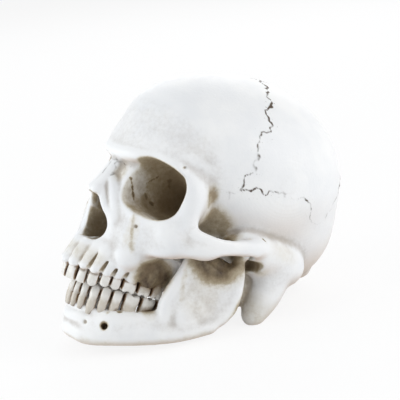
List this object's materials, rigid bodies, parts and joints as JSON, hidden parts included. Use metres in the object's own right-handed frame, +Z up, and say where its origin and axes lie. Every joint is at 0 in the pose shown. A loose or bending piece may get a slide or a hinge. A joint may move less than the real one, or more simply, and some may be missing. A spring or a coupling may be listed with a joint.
{
  "type": "anatomical skull model",
  "caption": "Life-size human skull model for teaching, with bones parted at their sutures, separate teeth in sockets and a jaw that opens.",
  "frame": {"origin": "middle of the bounding box's bottom face, on the surface that the skull lies on", "axes": "+X to the skull's left, +Y to its back, so that the face looks along -Y, +Z up"},
  "size_m": [0.1356, 0.2078, 0.1578],
  "materials": {
    "bone_resin": "semi-matte white cast resin with brown wash in the recesses",
    "tooth_resin": "satin warm white cast resin",
    "pin_steel": "plain"
  },
  "bodies": {
    "cranium": {"frontal_bone": "bone_resin", "left_parietal_bone": "bone_resin", "right_parietal_bone": "bone_resin", "occipital_bone": "bone_resin", "sphenoid_bone": "bone_resin", "left_temporal_bone": "bone_resin", "right_temporal_bone": "bone_resin", "left_zygomatic_bone": "bone_resin", "right_zygomatic_bone": "bone_resin", "left_maxilla": "bone_resin", "right_maxilla": "bone_resin", "left_nasal_bone": "bone_resin", "right_nasal_bone": "bone_resin", "left_jaw_pin": "pin_steel", "right_jaw_pin": "pin_steel", "left_upper_central_incisor": "tooth_resin", "left_upper_lateral_incisor": "tooth_resin", "left_upper_canine": "tooth_resin", "left_upper_first_premolar": "tooth_resin", "left_upper_second_premolar": "tooth_resin", "left_upper_first_molar": "tooth_resin", "left_upper_second_molar": "tooth_resin", "left_upper_third_molar": "tooth_resin", "right_upper_central_incisor": "tooth_resin", "right_upper_lateral_incisor": "tooth_resin", "right_upper_canine": "tooth_resin", "right_upper_first_premolar": "tooth_resin", "right_upper_second_premolar": "tooth_resin", "right_upper_first_molar": "tooth_resin", "right_upper_second_molar": "tooth_resin", "right_upper_third_molar": "tooth_resin"},
    "jaw": {"mandible": "bone_resin", "left_lower_central_incisor": "tooth_resin", "left_lower_lateral_incisor": "tooth_resin", "left_lower_canine": "tooth_resin", "left_lower_first_premolar": "tooth_resin", "left_lower_second_premolar": "tooth_resin", "left_lower_first_molar": "tooth_resin", "left_lower_second_molar": "tooth_resin", "left_lower_third_molar": "tooth_resin", "right_lower_central_incisor": "tooth_resin", "right_lower_lateral_incisor": "tooth_resin", "right_lower_canine": "tooth_resin", "right_lower_first_premolar": "tooth_resin", "right_lower_second_premolar": "tooth_resin", "right_lower_first_molar": "tooth_resin", "right_lower_second_molar": "tooth_resin", "right_lower_third_molar": "tooth_resin"}
  },
  "joints": [
    {"name": "jaw_hinge", "type": "hinge", "parent": "cranium", "child": "jaw", "pos_m": [0, -0.00048, 0.05064], "axis": [1, 0, 0], "range_deg": [0, 14]}
  ]
}
